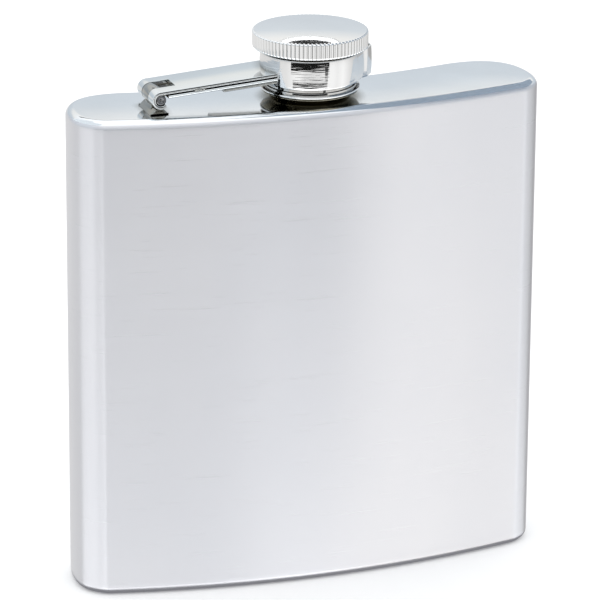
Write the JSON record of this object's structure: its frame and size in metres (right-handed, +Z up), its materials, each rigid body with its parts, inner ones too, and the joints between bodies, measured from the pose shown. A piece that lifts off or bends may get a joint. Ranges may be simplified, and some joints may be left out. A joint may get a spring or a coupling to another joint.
{
  "type": "hip flask",
  "caption": "Kidney-section hip flask with a ribbed screw cap held in a collar on a folded strap, hinged at a bracket beside the neck.",
  "frame": {"origin": "centre of the base, on the surface it stands on", "axes": "+Z up through the cap, +X along the width away from the hinge, -Y the convex front face"},
  "size_m": [0.094, 0.0254, 0.1092],
  "materials": {
    "brushed_body": "satin brushed",
    "polished_plate": "polished",
    "chrome_fittings": "mirror",
    "pin_steel": "turned",
    "liner_plastic": "moulded",
    "gasket_silicone": "matte"
  },
  "bodies": {
    "flask": {"body_wall": "brushed_body", "top_plate": "polished_plate", "base_plate": "brushed_body", "spout": "chrome_fittings", "hinge_bracket": "chrome_fittings"},
    "pin": {"hinge_pin": "pin_steel"},
    "arm": {"strap": "chrome_fittings", "collar": "chrome_fittings"},
    "ring": {"retaining_ring": "chrome_fittings"},
    "cap": {"cap_shell": "chrome_fittings", "cap_liner": "liner_plastic", "cap_gasket": "gasket_silicone"}
  },
  "joints": [
    {"name": "pin_turn", "type": "hinge", "parent": "flask", "child": "pin", "pos_m": [-0.0312, -0.00164, 0.0989], "axis": [0, -1, 0], "range_deg": [0, 3.82]},
    {"name": "arm_swing", "type": "hinge", "parent": "pin", "child": "arm", "pos_m": [-0.0312, -0.00164, 0.0989], "axis": [0, -1, 0], "range_deg": [0, 176]},
    {"name": "cap_tilt", "type": "hinge", "parent": "arm", "child": "ring", "pos_m": [0.0034, -0.00164, 0.09775], "axis": [0, -1, 0], "range_deg": [-3.82, 0]},
    {"name": "cap_turn", "type": "hinge", "parent": "ring", "child": "cap", "pos_m": [0, -0.00164, 0.1057], "axis": [0, 0, 1], "range_deg": [0, 552]}
  ],
  "couplings": [
    {"joint": "pin_turn", "follows": "cap_turn", "ratio": 0.0069049},
    {"joint": "cap_tilt", "follows": "cap_turn", "ratio": -0.0069049}
  ]
}
